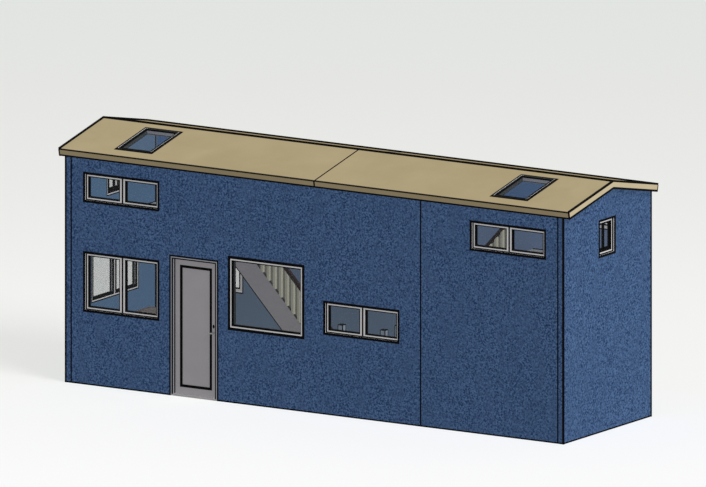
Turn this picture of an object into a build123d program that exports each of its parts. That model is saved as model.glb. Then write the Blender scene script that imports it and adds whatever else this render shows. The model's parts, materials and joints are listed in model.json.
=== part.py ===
from build123d import *
import math
import os

# Two-storey modular house with a low gable roof, in millimetres.
# Pieces are drawn with x from the outer face of the left end wall, y from the outer face of the
# front wall and z from the ground. save() then puts the origin under the middle of the house.

# Overall house
length = 8540.0
depth = 2400.0
eaves_height = 3350.0
ridge_rise = 250.0
wall_thickness = 96.0
roof_thickness = 100.0
gable_overhang = 105.0
floor_thickness = 24.0

# Stretches of plain wall along the front, from the left end: before the lower left window, on
# each side of the door and between the large and the small window. The front wall's panel joint
# falls at a share of the stretch between the small and the upper right window.
end_gap = 308.0
door_left_pier = 190.0
door_right_pier = 184.0
window_pier = 343.0
front_joint_share = 0.304

# Windows
wide_window_width = 1290.0
low_window_sill = 1088.0
low_window_height = 882.0
high_window_height = 432.0
high_window_head_drop = 204.0
large_window_height = 1080.0
small_window_sill = 1192.0
small_window_height = 488.0
gable_window_width = 450.0
gable_window_height = 545.0
gable_window_head_drop = 203.0
frame_face = 22.0
fixed_frame_face = 34.0
sash_recess = 38.0
sash_face = 38.0
sash_gap = 20.0
sash_back_gap = 8.0
mullion_setback = 10.0
fixed_glass_setback = 30.0
sash_glass_back_gap = 6.0
glass_thickness = 14.0
glass_lip = 8.0
glass_play = 1.0

# Roof windows
skylight_width = 612.0
skylight_length = 838.0
skylight_from_eaves = 243.0
skylight_left_from_end = 1030.0
skylight_right_from_end = 1066.0
skylight_rim = 10.0
skylight_frame_depth = 80.0
skylight_frame_face = 52.0
skylight_glass_drop = 16.0

# Entrance door
door_width = 823.0
door_height = 2078.0
door_frame_face = 30.0
door_stop_lip = 16.0
door_stop_gap = 6.0
leaf_proud = 4.0
leaf_thickness = 38.0
leaf_gap = 6.0
leaf_lock_gap = 7.0
leaf_bottom_gap = 8.0
panel_margin_side = 115.0
panel_margin_top = 115.0
panel_margin_bottom = 113.0
panel_thickness = 22.0
gasket_proud = 3.0
gasket_lap = 14.0
gasket_inner = 25.0

# Door furniture
lever_backset = 69.0
lever_height = 985.0
lever_length = 118.0
lever_bar_height = 18.0
lever_bar_thickness = 12.0
lever_reach = 48.0
lever_neck_radius = 9.0
spindle_radius = 6.0
spindle_clearance = 1.0
rosette_radius = 26.0
rosette_thickness = 8.0
lock_rise = 100.0
lock_radius = 17.0
hinge_bottom_gap = 188.0
hinge_top_gap = 152.0
hinge_length = 90.0
knuckle_radius = 7.0
knuckle_gap = 1.0
pin_radius = 3.5
pin_clearance = 0.3
hinge_plate = 3.0
hinge_plate_width = 28.0
hinge_pin_inset = 3.0
hinge_pin_setback = 8.0

# Loft floors
loft_top = 2290.0
loft_thickness = 120.0

# Stairs
riser_count = 10
going = 210.0
tread_thickness = 36.0
tread_overlap = 25.0
stair_width = 450.0
stair_back_gap = 554.0
flight_spacing = 642.0
stringer_thickness = 50.0
stringer_depth = 320.0
stringer_margin = 30.0
newel_size = 84.0
newel_gap = 5.0
newel_height = 1028.0
baluster_width = 38.0
baluster_depth = 50.0
handrail_rise = 550.0
handrail_depth = 50.0
handrail_width = 50.0
handrail_overrun = 64.0

# Table
table_left = 130.0
table_width = 1200.0
table_back_gap = 204.0
table_depth = 600.0
table_height = 775.0
table_top_thickness = 36.0
table_leg_size = 60.0
table_leg_inset = 40.0

# How far a cutting shape runs past the face that it cuts
overcut = 1.0

# Worked-out values
roof_slope = ridge_rise / (depth / 2)
roof_angle = math.degrees(math.atan(roof_slope))
slope_cos = math.cos(math.radians(roof_angle))
slope_sin = math.sin(math.radians(roof_angle))
ridge_underside = eaves_height + ridge_rise
right_inner = length - wall_thickness
back_inner = depth - wall_thickness
door_left = end_gap + wide_window_width + door_left_pier
door_right = door_left + door_width
large_window_left = door_right + door_right_pier
small_window_left = large_window_left + wide_window_width + window_pier
small_window_right = small_window_left + wide_window_width
right_window_left = length - end_gap - wide_window_width
gable_window_left = (depth - gable_window_width) / 2
high_window_sill = eaves_height - high_window_head_drop - high_window_height
gable_window_sill = eaves_height - gable_window_head_drop - gable_window_height
front_wall_joint = (small_window_right
                    + front_joint_share * (right_window_left - small_window_right))
back_wall_joint = length / 2
roof_joint = length / 2
skylight_centers = (skylight_left_from_end, length - skylight_right_from_end)
skylight_seat = roof_thickness + skylight_rim - skylight_glass_drop - glass_thickness
sash_back = wall_thickness - sash_back_gap
sash_glass_setback = sash_back - sash_glass_back_gap - glass_thickness
leaf_left = door_left + door_frame_face + leaf_gap
leaf_right = door_right - door_frame_face - leaf_lock_gap
leaf_bottom = floor_thickness + leaf_bottom_gap
leaf_top = door_height - door_frame_face - leaf_gap
leaf_back = wall_thickness + leaf_proud
leaf_setback = leaf_back - leaf_thickness
lever_x = leaf_right - lever_backset
pin_x = leaf_left - hinge_pin_inset
pin_y = leaf_back + hinge_pin_setback
low_hinge = leaf_bottom + hinge_bottom_gap
high_hinge = leaf_top - hinge_top_gap - hinge_length
hinge_heights = (low_hinge, (low_hinge + high_hinge) / 2, high_hinge)
rise = (loft_top - floor_thickness) / riser_count
stair_slope = rise / going
stair_angle = math.atan(stair_slope)
newel_left = (length - flight_spacing) / 2 - newel_size
first_nosing = newel_left - newel_gap
loft_edge = first_nosing - (riser_count - 1) * going
stair_back = back_inner - stair_back_gap
stair_front = stair_back - stair_width
stair_center = (stair_front + stair_back) / 2
stair_middle = stair_front + stringer_thickness / 2
stringer_height = stringer_depth / math.cos(stair_angle)
handrail_height = handrail_depth / math.cos(stair_angle)
table_front = back_inner - table_back_gap - table_depth

os.makedirs("parts", exist_ok=True)

# Places of the four walls, each with x running along the wall from its left end as seen from
# outside, y running into the house and z up
front_side = Location((0, 0, 0))
back_side = Location((length, depth, 0), (0, 0, 180))
left_side = Location((0, depth, 0), (0, 0, -90))
right_side = Location((length, 0, 0), (0, 0, 90))


def block(x0, x1, y0, y1, z0, z1):
    """A box between two corners."""
    return Pos((x0 + x1) / 2, (y0 + y1) / 2, (z0 + z1) / 2) * Box(x1 - x0, y1 - y0, z1 - z0)


def prism_along_x(points, x0, x1):
    """A solid whose section is the given (y, z) outline, from x0 to x1."""
    outline = Polyline(*[(x0, y, z) for y, z in points], close=True)
    return extrude(make_face(outline), amount=x1 - x0, dir=(1, 0, 0))


def prism_along_y(points, y0, y1):
    """A solid whose section is the given (x, z) outline, from y0 to y1."""
    outline = Polyline(*[(x, y0, z) for x, z in points], close=True)
    return extrude(make_face(outline), amount=y1 - y0, dir=(0, 1, 0))


def rod_along_y(x, z, radius, y0, y1):
    """A round bar that runs into the house."""
    return Pos(x, (y0 + y1) / 2, z) * Rot(90, 0, 0) * Cylinder(radius, y1 - y0)


def rod_along_z(x, y, radius, z0, z1):
    """An upright round bar."""
    return Pos(x, y, (z0 + z1) / 2) * Cylinder(radius, z1 - z0)


def mirrored(shape):
    """The same piece at the other end of the house."""
    return mirror(shape, about=Plane.YZ.offset(length / 2))


def save(name, *shapes):
    """Writes one node from one or more solids, with the origin under the middle of the house."""
    solids = [solid for shape in shapes for solid in shape.solids()]
    node = solids[0] if len(solids) == 1 else Compound(children=solids)
    export_step(Pos(-length / 2, -depth / 2, 0) * node, f"parts/{name}.step")


# Windows: each has its wall side, left edge, sill height, width, height and number of sashes
def window(side, left, sill, width, height, sashes):
    return {"side": side, "left": left, "sill": sill, "width": width, "height": height,
            "sashes": sashes}


front_windows = {
    "upper_left": window(front_side, end_gap, high_window_sill, wide_window_width,
                         high_window_height, 2),
    "lower_left": window(front_side, end_gap, low_window_sill, wide_window_width,
                         low_window_height, 2),
    "large": window(front_side, large_window_left, low_window_sill, wide_window_width,
                    large_window_height, 0),
    "small": window(front_side, small_window_left, small_window_sill, wide_window_width,
                    small_window_height, 2),
    "upper_right": window(front_side, right_window_left, high_window_sill, wide_window_width,
                          high_window_height, 2),
}
back_windows = [
    window(back_side, right_window_left, low_window_sill, wide_window_width,
           low_window_height, 2),
    window(back_side, right_window_left, high_window_sill, wide_window_width,
           high_window_height, 2),
    window(back_side, end_gap, high_window_sill, wide_window_width, high_window_height, 2),
]
left_windows = [
    window(left_side, gable_window_left, gable_window_sill, gable_window_width,
           gable_window_height, 1),
    window(left_side, (depth - wide_window_width) / 2, low_window_sill, wide_window_width,
           low_window_height, 2),
]
right_windows = [
    window(right_side, gable_window_left, gable_window_sill, gable_window_width,
           gable_window_height, 1),
]


def window_hole(w):
    """What a window takes out of its wall."""
    return w["side"] * block(w["left"], w["left"] + w["width"], -overcut,
                             wall_thickness + overcut, w["sill"], w["sill"] + w["height"])


def panes(w):
    """Outlines (x0, x1, z0, z1) of the sashes inside a window's fixed frame."""
    face = frame_face if w["sashes"] else fixed_frame_face
    x0, x1 = w["left"] + face, w["left"] + w["width"] - face
    z0, z1 = w["sill"] + face, w["sill"] + w["height"] - face
    if w["sashes"] == 2:
        middle = (x0 + x1) / 2
        return [(x0, middle - sash_gap / 2, z0, z1), (middle + sash_gap / 2, x1, z0, z1)]
    return [(x0, x1, z0, z1)]


def glass_sheet(x0, x1, z0, z1, y0):
    """A pane set behind a lip that covers its edges."""
    reach = glass_lip - glass_play
    return block(x0 - reach, x1 + reach, y0, y0 + glass_thickness, z0 - reach, z1 + reach)


def glass_seat(x0, x1, z0, z1, y0):
    """The rebate in a frame where a pane lies, open to the inside of the house."""
    return block(x0 - glass_lip, x1 + glass_lip, y0, wall_thickness, z0 - glass_lip,
                 z1 + glass_lip)


def window_frame(w):
    """The fixed frame of a window with the bars of its sashes."""
    x0, x1 = w["left"], w["left"] + w["width"]
    z0, z1 = w["sill"], w["sill"] + w["height"]
    body = block(x0, x1, 0, wall_thickness, z0, z1)
    if not w["sashes"]:
        a0, a1, b0, b1 = panes(w)[0]
        body -= block(a0, a1, -overcut, wall_thickness, b0, b1)
        body -= glass_seat(a0, a1, b0, b1, fixed_glass_setback)
        return w["side"] * body
    face = frame_face
    c0, c1, d0, d1 = x0 + face, x1 - face, z0 + face, z1 - face
    body -= block(c0, c1, -overcut, sash_recess, d0, d1)
    body -= block(c0, c1, sash_back, wall_thickness + overcut, d0, d1)
    for a0, a1, b0, b1 in panes(w):
        a0, a1, b0, b1 = a0 + sash_face, a1 - sash_face, b0 + sash_face, b1 - sash_face
        body -= block(a0, a1, 0, wall_thickness, b0, b1)
        body -= glass_seat(a0, a1, b0, b1, sash_glass_setback)
    if w["sashes"] == 2:
        middle = (x0 + x1) / 2
        body -= block(middle - sash_gap / 2, middle + sash_gap / 2, sash_recess - overcut,
                      sash_recess + mullion_setback, d0, d1)
    return w["side"] * body


def window_glass(w):
    """The panes of a window."""
    if not w["sashes"]:
        return [w["side"] * glass_sheet(*panes(w)[0], fixed_glass_setback)]
    sheets = []
    for a0, a1, b0, b1 in panes(w):
        sheets.append(w["side"] * glass_sheet(a0 + sash_face, a1 - sash_face, b0 + sash_face,
                                              b1 - sash_face, sash_glass_setback))
    return sheets


# Long walls, whose tops follow the slope of the roof
def long_wall(side, x0, x1, z0, windows):
    top_inner = eaves_height + wall_thickness * roof_slope
    outline = [(0, z0), (wall_thickness, z0), (wall_thickness, top_inner), (0, eaves_height)]
    wall = side * prism_along_x(outline, x0, x1)
    for w in windows:
        wall -= window_hole(w)
    return wall


def end_wall(side, windows):
    """An end wall that runs the full depth of the house and up to the ridge."""
    outline = [(0, 0), (depth, 0), (depth, eaves_height), (depth / 2, ridge_underside),
               (0, eaves_height)]
    wall = side * prism_along_y(outline, 0, wall_thickness)
    for w in windows:
        wall -= window_hole(w)
    return wall


def build_walls():
    fw = front_windows
    save("front_wall_left", long_wall(front_side, wall_thickness, door_left, 0,
                                      [fw["upper_left"], fw["lower_left"]]))
    save("front_wall_over_door", long_wall(front_side, door_left, door_right, door_height, []))
    save("front_wall_middle", long_wall(front_side, door_right, front_wall_joint, 0,
                                        [fw["large"], fw["small"]]))
    save("front_wall_right", long_wall(front_side, front_wall_joint, right_inner, 0,
                                       [fw["upper_right"]]))
    save("back_wall_left", long_wall(back_side, length - back_wall_joint, right_inner, 0,
                                     back_windows[:2]))
    save("back_wall_right", long_wall(back_side, wall_thickness, length - back_wall_joint, 0,
                                      back_windows[2:]))
    save("end_wall_left", end_wall(left_side, left_windows))
    save("end_wall_right", end_wall(right_side, right_windows))


def build_windows():
    for name, w in front_windows.items():
        save(f"front_window_frame_{name}", window_frame(w))
    save("back_window_frames", *[window_frame(w) for w in back_windows])
    save("left_end_window_frames", *[window_frame(w) for w in left_windows])
    save("right_end_window_frame", *[window_frame(w) for w in right_windows])
    groups = {"front_window_glass": list(front_windows.values()),
              "back_window_glass": back_windows,
              "end_window_glass": left_windows + right_windows}
    for name, windows in groups.items():
        save(name, *[sheet for w in windows for sheet in window_glass(w)])


# Roof: front and back slopes, each in two panels with a mitred ridge and square-cut eaves
front_slope = Location((0, 0, eaves_height), (roof_angle, 0, 0))


def roof_panel(x0, x1):
    """A panel of the front slope."""
    outline = [(0, eaves_height), (depth / 2, ridge_underside),
               (depth / 2, ridge_underside + roof_thickness / slope_cos),
               (-roof_thickness * slope_sin, eaves_height + roof_thickness * slope_cos)]
    return prism_along_x(outline, x0, x1)


def skylight_box(center, inset, z0, z1):
    """A box on the front slope, inset from the outline of a roof window."""
    half = skylight_width / 2 - inset
    return front_slope * block(center - half, center + half, skylight_from_eaves + inset,
                               skylight_from_eaves + skylight_length - inset, z0, z1)


def skylight_frame(center):
    rim_top = roof_thickness + skylight_rim
    frame = skylight_box(center, 0, rim_top - skylight_frame_depth, rim_top)
    frame -= skylight_box(center, skylight_frame_face, -overcut, rim_top + overcut)
    frame -= skylight_box(center, skylight_frame_face - glass_lip, skylight_seat,
                          rim_top + overcut)
    return frame


def skylight_glass(center):
    return skylight_box(center, skylight_frame_face - glass_lip + glass_play, skylight_seat,
                        skylight_seat + glass_thickness)


def build_roof():
    panels = (roof_panel(-gable_overhang, roof_joint),
              roof_panel(roof_joint, length + gable_overhang))
    for name, panel, center in zip(("left", "right"), panels, skylight_centers):
        back = mirror(panel, about=Plane.XZ.offset(-depth / 2))
        save(f"roof_back_{name}", back)
        save(f"roof_front_{name}",
             panel - skylight_box(center, 0, -overcut, roof_thickness + overcut))
    save("skylight_frames", *[skylight_frame(center) for center in skylight_centers])
    save("skylight_glass", *[skylight_glass(center) for center in skylight_centers])


# Entrance door
def build_door_frame():
    right = door_right
    face, lip = door_frame_face, door_stop_lip
    stop_end = leaf_setback - door_stop_gap
    head_bottom = door_height - face
    left_jamb = block(door_left, door_left + face, 0, wall_thickness, floor_thickness,
                      head_bottom)
    left_jamb += block(door_left + face, door_left + face + lip, 0, stop_end, floor_thickness,
                       head_bottom)
    right_jamb = block(right - face, right, 0, wall_thickness, floor_thickness, head_bottom)
    right_jamb += block(right - face - lip, right - face, 0, stop_end, floor_thickness,
                        head_bottom)
    head = block(door_left, right, 0, wall_thickness, head_bottom, door_height)
    head += block(door_left + face + lip, right - face - lip, 0, stop_end, head_bottom - lip,
                  head_bottom)
    save("door_jambs", left_jamb, right_jamb)
    save("door_head", head)
    save("door_sill", block(door_left, right, 0, wall_thickness, 0, floor_thickness))


def panel_box(grow, y0, y1):
    """A box on the outline of the door's panel, grown by some margin."""
    return block(leaf_left + panel_margin_side - grow, leaf_right - panel_margin_side + grow,
                 y0, y1, leaf_bottom + panel_margin_bottom - grow,
                 leaf_top - panel_margin_top + grow)


def gasket(face, panel_face):
    """A seal that laps the leaf's face and reaches in to the panel."""
    outward = math.copysign(gasket_proud, face - panel_face)
    low, high = sorted((face, face + outward))
    seal = panel_box(gasket_lap, low, high)
    low, high = sorted((face, panel_face))
    seal += panel_box(0, low, high)
    return seal - panel_box(-gasket_inner, leaf_setback - 2 * gasket_proud,
                            leaf_back + 2 * gasket_proud)


def build_door_leaf():
    leaf = block(leaf_left, leaf_right, leaf_setback, leaf_back, leaf_bottom, leaf_top)
    leaf -= panel_box(0, leaf_setback - overcut, leaf_back + overcut)
    leaf -= rod_along_y(lever_x, lever_height, spindle_radius + spindle_clearance,
                        leaf_setback - overcut, leaf_back + overcut)
    panel_front = leaf_setback + (leaf_thickness - panel_thickness) / 2
    panel_back = panel_front + panel_thickness
    save("door_leaf", leaf)
    save("door_panel", panel_box(0, panel_front, panel_back))
    save("door_seals", gasket(leaf_setback, panel_front), gasket(leaf_back, panel_back))


def rosette(y0, y1):
    """The round plate that a lever turns in."""
    plate = rod_along_y(lever_x, lever_height, rosette_radius, y0, y1)
    return plate - rod_along_y(lever_x, lever_height, lever_neck_radius + spindle_clearance,
                               y0 - overcut, y1 + overcut)


def lever(face, outward):
    """Neck and bar on one side of the leaf."""
    tip = face + outward * lever_reach
    neck = rod_along_y(lever_x, lever_height, lever_neck_radius, *sorted((face, tip)))
    y0, y1 = sorted((tip, tip - outward * lever_bar_thickness))
    half = lever_bar_height / 2
    bar = block(lever_x - lever_length, lever_x, y0, y1, lever_height - half, lever_height + half)
    return neck + bar


def build_door_furniture():
    outer, inner = leaf_setback - rosette_thickness, leaf_back + rosette_thickness
    lock_z = lever_height + lock_rise
    save("door_lock_plates",
         rosette(outer, leaf_setback), rosette(leaf_back, inner),
         rod_along_y(lever_x, lock_z, lock_radius, outer, leaf_setback),
         rod_along_y(lever_x, lock_z, lock_radius, leaf_back, inner))
    handle = rod_along_y(lever_x, lever_height, spindle_radius, leaf_setback, leaf_back)
    handle += lever(leaf_setback, -1)
    handle += lever(leaf_back, 1)
    save("door_lever", handle)


def build_hinges():
    fixed, moving = [], []
    half = (hinge_length - knuckle_gap) / 2
    for z in hinge_heights:
        low = rod_along_z(pin_x, pin_y, knuckle_radius, z, z + half)
        low += rod_along_z(pin_x, pin_y, pin_radius, z, z + hinge_length)
        low += block(pin_x - knuckle_radius, pin_x, wall_thickness, pin_y, z, z + half)
        low += block(pin_x - hinge_plate_width, pin_x, wall_thickness,
                     wall_thickness + hinge_plate, z, z + half)
        fixed.append(low)
        z_high = z + half + knuckle_gap
        high = rod_along_z(pin_x, pin_y, knuckle_radius, z_high, z + hinge_length)
        high += block(pin_x + hinge_pin_inset, pin_x + knuckle_radius, leaf_back, pin_y, z_high,
                      z + hinge_length)
        high += block(pin_x + hinge_pin_inset, pin_x + hinge_pin_inset + hinge_plate_width,
                      leaf_back, leaf_back + hinge_plate, z_high, z + hinge_length)
        high -= rod_along_z(pin_x, pin_y, pin_radius + pin_clearance, z,
                            z + hinge_length + overcut)
        moving.append(high)
    save("door_hinges_fixed", *fixed)
    save("door_hinges_moving", *moving)


# Floors
def build_floors():
    save("floor", block(wall_thickness, right_inner, wall_thickness, back_inner, 0,
                        floor_thickness))
    loft = block(wall_thickness, loft_edge, wall_thickness, back_inner,
                 loft_top - loft_thickness, loft_top)
    save("loft_left", loft)
    save("loft_right", mirrored(loft))


# Stairs: the left flight is drawn, and the right one is the same flight turned half round
def turned(solid):
    """The same piece in the right flight."""
    return mirror(mirrored(solid), about=Plane.XZ.offset(-stair_center))


def nosing_z(x):
    """Height of the line through the fronts of the treads."""
    return loft_top - (x - loft_edge) * stair_slope


def stringer(y0):
    """A sloping side board, cut plumb at the loft and at the newel, and level on the floor."""
    def top(x):
        return nosing_z(x) + stringer_margin

    def bottom(x):
        return top(x) - stringer_height

    heel = loft_edge + (bottom(loft_edge) - floor_thickness) / stair_slope
    outline = [(loft_edge, bottom(loft_edge)), (heel, floor_thickness),
               (newel_left, floor_thickness), (newel_left, top(newel_left)),
               (loft_edge, top(loft_edge))]
    return prism_along_y(outline, y0, y0 + stringer_thickness)


def sloping_bar(x0, x1, low, high, width):
    """A bar between two lines parallel to the flight, over the front stringer."""
    outline = [(x0, nosing_z(x0) + low), (x1, nosing_z(x1) + low), (x1, nosing_z(x1) + high),
               (x0, nosing_z(x0) + high)]
    return prism_along_y(outline, stair_middle - width / 2, stair_middle + width / 2)


def newel():
    """The post at the foot of the flight's front stringer."""
    y0 = stair_middle - newel_size / 2
    return block(newel_left, newel_left + newel_size, y0, y0 + newel_size, floor_thickness,
                 floor_thickness + newel_height)


def build_stairs():
    back_stringer = stair_back - stringer_thickness
    stringers = [stringer(stair_front), stringer(back_stringer)]
    treads = []
    for step in range(1, riser_count):
        nose = first_nosing - (step - 1) * going
        top = floor_thickness + step * rise
        treads.append(block(nose - going - tread_overlap, nose,
                            stair_front + stringer_thickness, back_stringer,
                            top - tread_thickness, top))
    rail_low = handrail_rise - handrail_height / 2
    rail_high = handrail_rise + handrail_height / 2
    balusters = []
    for k in range(2 * (riser_count - 1)):
        x = first_nosing - going / 4 - k * going / 2
        balusters.append(sloping_bar(x - baluster_width / 2, x + baluster_width / 2,
                                     stringer_margin, rail_low, baluster_depth))
    handrail = sloping_bar(loft_edge - handrail_overrun, newel_left, rail_low, rail_high,
                           handrail_width)
    pieces = {"stair_stringers": stringers, "stair_treads": treads,
              "stair_balusters": balusters, "stair_handrails": [handrail]}
    for name, solids in pieces.items():
        save(name, *solids, *[turned(solid) for solid in solids])
    # The right flight has a post at the foot of each stringer
    save("stair_newels", newel(), turned(newel()), mirrored(newel()))


def build_table():
    right, back = table_left + table_width, table_front + table_depth
    under = table_height - table_top_thickness
    legs = []
    for x in (table_left + table_leg_inset, right - table_leg_inset - table_leg_size):
        for y in (table_front + table_leg_inset, back - table_leg_inset - table_leg_size):
            legs.append(block(x, x + table_leg_size, y, y + table_leg_size, floor_thickness,
                              under))
    save("table_top", block(table_left, right, table_front, back, under, table_height))
    save("table_legs", *legs)


build_walls()
build_windows()
build_roof()
build_door_frame()
build_door_leaf()
build_door_furniture()
build_hinges()
build_floors()
build_stairs()
build_table()
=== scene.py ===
import bpy
import json
import math
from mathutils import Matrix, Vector


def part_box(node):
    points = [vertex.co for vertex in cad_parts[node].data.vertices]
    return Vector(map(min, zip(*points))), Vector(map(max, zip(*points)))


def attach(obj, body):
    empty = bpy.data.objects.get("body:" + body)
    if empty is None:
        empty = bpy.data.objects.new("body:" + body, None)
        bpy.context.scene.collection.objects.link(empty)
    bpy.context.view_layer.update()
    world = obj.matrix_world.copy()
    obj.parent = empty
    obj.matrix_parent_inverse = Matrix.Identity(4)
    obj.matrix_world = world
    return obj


# Looks of a long narrow two-storey house: blue render walls, tan sheet roof, pale window frames
# with black seals, grey entrance door, and the stairs, lofts and table inside.
# Everything is in metres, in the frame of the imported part.

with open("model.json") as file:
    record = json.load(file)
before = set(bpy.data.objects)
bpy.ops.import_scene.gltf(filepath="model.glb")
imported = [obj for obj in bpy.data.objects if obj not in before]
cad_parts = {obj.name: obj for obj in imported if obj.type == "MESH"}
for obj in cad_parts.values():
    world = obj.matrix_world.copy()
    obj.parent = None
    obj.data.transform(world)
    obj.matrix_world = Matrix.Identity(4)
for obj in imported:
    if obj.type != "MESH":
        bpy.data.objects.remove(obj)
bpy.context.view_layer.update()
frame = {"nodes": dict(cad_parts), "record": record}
nodes = frame["nodes"]

LARGE_WINDOW = "front_window_frame_large"
WINDOW_NODES = ["front_window_frame_upper_left", "front_window_frame_lower_left", LARGE_WINDOW,
                "front_window_frame_small", "front_window_frame_upper_right",
                "back_window_frames", "left_end_window_frames", "right_end_window_frame"]
GLASS_NODES = ["front_window_glass", "back_window_glass", "end_window_glass"]


def srgb(r, g, b):
    """A colour written as it looks, in 0 to 255, turned into light by the sRGB curve."""
    linear = []
    for value in (r / 255, g / 255, b / 255):
        low = value <= 0.04045
        linear.append(value / 12.92 if low else ((value + 0.055) / 1.055) ** 2.4)
    return (*linear, 1.0)


# Node helpers. The Mix node has its colours at these sockets
MIX_A, MIX_B, MIX_RESULT = 6, 7, 2
# Most of a noise texture lies between these values
NOISE_LOW, NOISE_HIGH = 0.3, 0.7


class Nodes:
    """A node tree, with short ways to add and join nodes."""

    def __init__(self, tree):
        self.tree = tree

    def feed(self, node, inputs):
        """Sets inputs of a node to numbers or colours, or links other sockets to them."""
        for name, value in inputs.items():
            if isinstance(value, (int, float, tuple)):
                node.inputs[name].default_value = value
            else:
                self.tree.links.new(value, node.inputs[name])

    def add(self, kind, inputs, **settings):
        node = self.tree.nodes.new(kind)
        for key, value in settings.items():
            setattr(node, key, value)
        self.feed(node, inputs)
        return node

    def math(self, operation, a, b):
        node = self.add("ShaderNodeMath", {0: a, 1: b}, operation=operation)
        return node.outputs["Value"]

    def absolute(self, value):
        return self.math("ABSOLUTE", value, 0.0)

    def seen(self):
        """1 where the camera, a reflection or clear glass looks, and 0 for light on things."""
        rays = self.add("ShaderNodeLightPath", {}).outputs
        return self.math("MAXIMUM", rays["Is Camera Ray"],
                         self.math("MAXIMUM", rays["Is Glossy Ray"], rays["Is Transmission Ray"]))

    def end(self, factor, a, b, output):
        """Ends the tree in shader a where factor is 0 and in shader b where it is 1."""
        mixed = self.add("ShaderNodeMixShader", {0: factor, 1: a, 2: b})
        self.feed(self.tree.nodes[output], {"Surface": mixed.outputs["Shader"]})


class Shader(Nodes):
    """A material made of nodes round one principled shader."""

    def __init__(self, name, gloss=0.5):
        self.material = bpy.data.materials.new(name)
        self.material.use_nodes = True
        super().__init__(self.material.node_tree)
        self.principled = self.tree.nodes["Principled BSDF"]
        self.feed(self.principled, {"Specular IOR Level": gloss})
        self.place = self.add("ShaderNodeTexCoord", {}).outputs["Object"]

    def stretched(self, x, y, z):
        """Object coordinates, stretched along the axes."""
        node = self.add("ShaderNodeMapping", {"Vector": self.place, "Scale": (x, y, z)})
        return node.outputs["Vector"]

    def noise(self, scale, detail=3.0, roughness=0.5, distortion=0.0, vector=None):
        node = self.add("ShaderNodeTexNoise", {
            "Vector": vector or self.place, "Scale": scale, "Detail": detail,
            "Roughness": roughness, "Distortion": distortion})
        return node.outputs["Fac"]

    def spread(self, value, low, high, to_low=0.0, to_high=1.0):
        """value mapped from one range to another and kept within it."""
        node = self.add("ShaderNodeMapRange", {
            "Value": value, "From Min": low, "From Max": high, "To Min": to_low,
            "To Max": to_high})
        return node.outputs["Result"]

    def tone(self, noise, to_low=0.0, to_high=1.0):
        """A noise texture spread over a range."""
        return self.spread(noise, NOISE_LOW, NOISE_HIGH, to_low, to_high)

    def parts(self, vector):
        """The x, y and z of a vector."""
        return self.add("ShaderNodeSeparateXYZ", {"Vector": vector}).outputs.values()

    def mix(self, factor, a, b):
        """Colour a where factor is 0 and colour b where it is 1."""
        node = self.add("ShaderNodeMix", {"Factor": factor, MIX_A: a, MIX_B: b},
                        data_type="RGBA")
        return node.outputs[MIX_RESULT]

    def finished(self, colour, roughness, height, distance, strength):
        """The material with this colour and roughness, and bumps as high as a distance."""
        bump = self.add("ShaderNodeBump", {"Height": height, "Distance": distance,
                                           "Strength": strength})
        self.feed(self.principled, {"Base Color": colour, "Roughness": roughness,
                                    "Normal": bump.outputs["Normal"]})
        return self.material


# Inside paint, lighter than the render outside as painted light for the faces indoors: heights
# where its tone changes, how far the change reaches to each side, and how far in from the middle
# of an end wall that wall's own tone reaches
LOFT_LINE = 2.15
PAINT_LINE = 2.78
PAINT_BLEND = 0.1
WALL_SKIN = 0.1
# Where the rooms end: halfway through the walls
ROOM_X = (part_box("end_wall_right")[0].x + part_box("end_wall_right")[1].x) / 2
ROOM_Y = (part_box("back_wall_left")[0].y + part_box("back_wall_left")[1].y) / 2
# How far the flecks of the render stand off their middle, either way
FLECK_REACH = 0.11


def render_finish():
    """Blue render with a combed, speckled finish: fine flecks, thick and thin in upright waves.
    The faces inside the house are plain grey-blue paint, made lighter than the render as painted
    light that stands in for the light the rooms lack: three tones of grey blue, one over another,
    on the long walls, and one on the end walls."""
    s = Shader("wall_render", gloss=0.06)
    waves = s.noise(1.0, 3.0, 0.6, 0.8, s.stretched(5.5, 5.5, 1.6))
    flecks = s.noise(36.0, 2.0, 0.7, 0.3)
    drift = s.noise(0.7, 2.0, 0.5)
    fleck_depth = s.spread(waves, 0.36, 0.62, 0.35, 1.0)
    fleck = s.math("MULTIPLY", s.math("SUBTRACT", flecks, 0.5), fleck_depth)
    light = s.spread(fleck, -FLECK_REACH, FLECK_REACH)
    base = s.mix(light, srgb(20, 42, 76), srgb(92, 120, 162))
    cloud = s.mix(s.tone(drift, 0.0, 0.18), base, srgb(46, 76, 108))
    outside = s.mix(s.spread(waves, 0.35, 0.7, 0.0, 0.2), cloud, srgb(58, 86, 124))
    across, along, height = s.parts(s.place)
    tone = s.tone(drift)
    # Painted light: these inside tones are lighter than the outside render to stand in for light
    # the rooms lack
    lower = s.mix(tone, srgb(105, 124, 146), srgb(111, 129, 153))
    middle = s.mix(tone, srgb(115, 133, 165), srgb(120, 139, 171))
    upper = s.mix(tone, srgb(68, 108, 158), srgb(74, 115, 166))
    ends = s.mix(tone, srgb(88, 116, 146), srgb(93, 122, 153))
    rising = s.mix(s.spread(height, LOFT_LINE - PAINT_BLEND, LOFT_LINE + PAINT_BLEND),
                   lower, middle)
    long_walls = s.mix(s.spread(height, PAINT_LINE - PAINT_BLEND, PAINT_LINE + PAINT_BLEND),
                       rising, upper)
    at_end = s.math("GREATER_THAN", s.absolute(across), ROOM_X - WALL_SKIN)
    inside = s.mix(at_end, long_walls, ends)
    rooms = s.math("MULTIPLY", s.math("LESS_THAN", s.absolute(across), ROOM_X),
                   s.math("LESS_THAN", s.absolute(along), ROOM_Y))
    return s.finished(s.mix(rooms, outside, inside), s.tone(flecks, 0.72, 0.9), flecks,
                      0.003, 0.5)


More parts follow.
